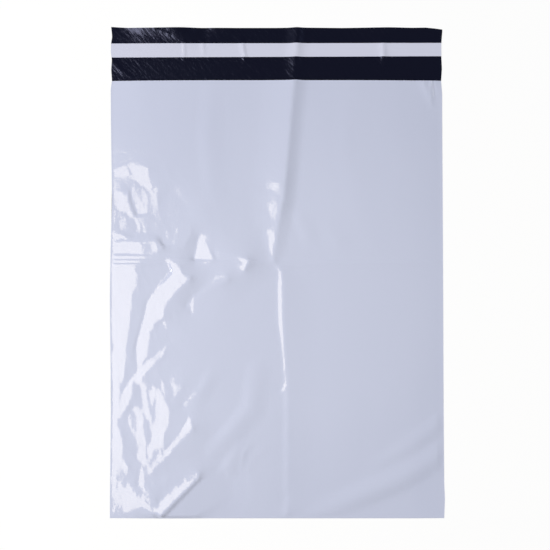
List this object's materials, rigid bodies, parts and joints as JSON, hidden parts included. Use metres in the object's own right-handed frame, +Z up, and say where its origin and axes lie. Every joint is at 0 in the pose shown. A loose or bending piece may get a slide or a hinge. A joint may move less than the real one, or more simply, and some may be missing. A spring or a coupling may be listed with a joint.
{
  "type": "poly mailer bag",
  "caption": "An empty plastic mailer bag in creased white film, black inside, lying flat with its flap open and the liner on its adhesive band.",
  "frame": {"origin": "on the table, under the middle of the bag's outline with the flap open", "axes": "+X across the bag, to its right when the flap points away; +Y from the bottom fold towards the flap's free edge; +Z up, out of the front wall"},
  "size_m": [0.305, 0.451, 0.0078],
  "materials": {
    "film": "glossy opaque polyethylene film, pale cool white outside and black inside",
    "adhesive": "tacky pressure-sensitive hot-melt adhesive, pale amber",
    "liner": "satin silicone-coated release film, off-white"
  },
  "bodies": {
    "root": {"bag_film": "film", "adhesive_strip": "adhesive", "release_liner": "liner"}
  },
  "joints": []
}
